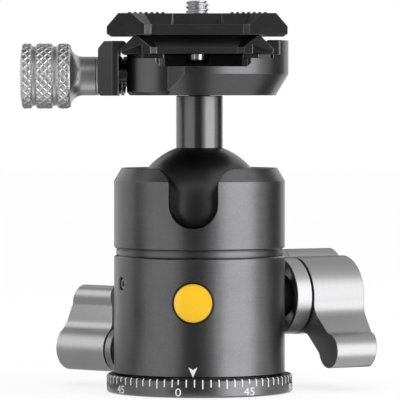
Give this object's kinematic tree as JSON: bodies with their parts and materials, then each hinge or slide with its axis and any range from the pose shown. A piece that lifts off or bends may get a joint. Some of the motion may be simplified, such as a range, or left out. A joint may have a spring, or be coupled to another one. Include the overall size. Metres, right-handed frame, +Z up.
{
  "type": "tripod ball head",
  "caption": "Tripod ball head with a drop-notch housing, a panning base with its own brake, wing lock knobs, and a screw clamp that holds a dovetail quick-release plate.",
  "frame": {"origin": "centre of the base's bottom face, on the axis of the tripod thread", "axes": "+Z up through the ball and the stem; +X away from the clamp's knob; the drop notch and the badge face -Y, turned 4.3 degrees towards -X"},
  "size_m": [0.0979, 0.0601, 0.1071],
  "materials": {
    "body": "dark anodised, satin, finely turned",
    "ball": "black hard-anodised satin",
    "clamp_black": "black anodised satin",
    "knob_silver": "satin, turned",
    "steel": "turned",
    "black_steel": "blackened",
    "bronze": "satin",
    "chrome": "polished",
    "pale_plastic": "natural low-friction plastic",
    "black_plastic": "satin",
    "trim_black": "gloss",
    "badge_yellow": "domed gloss",
    "rubber": "matt ribbed"
  },
  "bodies": {
    "base": {"base_plate": "body", "tripod_bush": "steel", "spindle": "steel", "base_screws": "black_steel", "glide_ring": "pale_plastic", "retaining_plate": "steel", "retaining_screws": "black_steel"},
    "housing": {"lower_housing": "body", "trim_ring": "trim_black", "upper_housing": "body", "badge_ring": "trim_black", "badge": "badge_yellow", "guide_screw": "black_steel", "wedge_track": "steel", "lock_bush": "black_plastic", "pan_bush": "black_plastic"},
    "lock_wedge": {"lock_wedge": "steel"},
    "ball_cup": {"ball_cup": "pale_plastic", "lift_block": "bronze"},
    "lock_knob": {"lock_screw": "steel", "lock_collar": "knob_silver", "lock_knob": "knob_silver"},
    "pan_shoe": {"pan_shoe": "pale_plastic"},
    "pan_knob": {"pan_screw": "steel", "pan_collar": "knob_silver", "pan_knob": "knob_silver"},
    "ball": {"ball": "ball"},
    "stem": {"stem": "ball"},
    "clamp": {"clamp_base": "clamp_black", "clamp_bolt": "black_steel", "jaw_spring": "steel"},
    "jaw": {"clamp_jaw": "clamp_black", "jaw_pins": "black_steel"},
    "clamp_knob": {"clamp_screw": "steel", "clamp_collar": "knob_silver", "clamp_knob": "knob_silver"},
    "plate": {"plate": "clamp_black", "grip_pads": "rubber", "screw_clip": "steel"},
    "camera_screw": {"camera_screw": "chrome"}
  },
  "joints": [
    {"name": "pan", "type": "hinge", "parent": "base", "child": "housing", "pos_m": [0, 0, 0.0102], "axis": [0, 0, 1], "continuous": true},
    {"name": "ball_side", "type": "hinge", "parent": "housing", "child": "ball", "pos_m": [0, 0, 0.04935], "axis": [-0.0742, -0.9875, 0.1392], "range_deg": [-22, 22]},
    {"name": "ball_tilt", "type": "hinge", "parent": "ball", "child": "stem", "pos_m": [0, 0, 0.04935], "axis": [0.9972, -0.075, 0], "range_deg": [-22, 82]},
    {"name": "ball_spin", "type": "hinge", "parent": "stem", "child": "clamp", "pos_m": [0, 0, 0.08115], "axis": [0, 0, 1], "continuous": true},
    {"name": "lock_knob_turn", "type": "hinge", "parent": "housing", "child": "lock_knob", "pos_m": [0, 0, 0.0255], "axis": [0.8599, 0.5105, 0], "range_deg": [0, 150]},
    {"name": "lock_wedge_slide", "type": "slide", "parent": "housing", "child": "lock_wedge", "axis": [0.8599, 0.5105, 0], "range_m": [0, 0.0006]},
    {"name": "cup_lift", "type": "slide", "parent": "housing", "child": "ball_cup", "axis": [0, 0, -1], "range_m": [0, 0.0003]},
    {"name": "pan_knob_turn", "type": "hinge", "parent": "housing", "child": "pan_knob", "pos_m": [0, 0, 0.0102], "axis": [-0.7738, 0.6334, 0], "range_deg": [0, 150]},
    {"name": "pan_shoe_slide", "type": "slide", "parent": "housing", "child": "pan_shoe", "axis": [-0.7738, 0.6334, 0], "range_m": [0, 0.0004]},
    {"name": "jaw_slide", "type": "slide", "parent": "clamp", "child": "jaw", "axis": [-1, 0, 0], "range_m": [0, 0.0036], "deforming": ["jaw_spring"]},
    {"name": "clamp_knob_turn", "type": "hinge", "parent": "jaw", "child": "clamp_knob", "pos_m": [-0.04, 0, 0.0865], "axis": [-1, 0, 0], "range_deg": [0, 1080]},
    {"name": "plate_slide", "type": "slide", "parent": "clamp", "child": "plate", "axis": [0, 1, 0], "range_m": [-0.02, 0.0085]},
    {"name": "camera_screw_turn", "type": "hinge", "parent": "plate", "child": "camera_screw", "pos_m": [-0.0006, 0, 0.1], "axis": [0, 0, 1], "continuous": true}
  ],
  "couplings": [
    {"joint": "lock_wedge_slide", "follows": "lock_knob_turn", "m_per_rad": 0.00019894},
    {"joint": "cup_lift", "follows": "lock_knob_turn", "m_per_rad": 0.00007241},
    {"joint": "pan_shoe_slide", "follows": "pan_knob_turn", "m_per_rad": 0.00012732},
    {"joint": "jaw_slide", "follows": "clamp_knob_turn", "m_per_rad": 0.00015915}
  ]
}
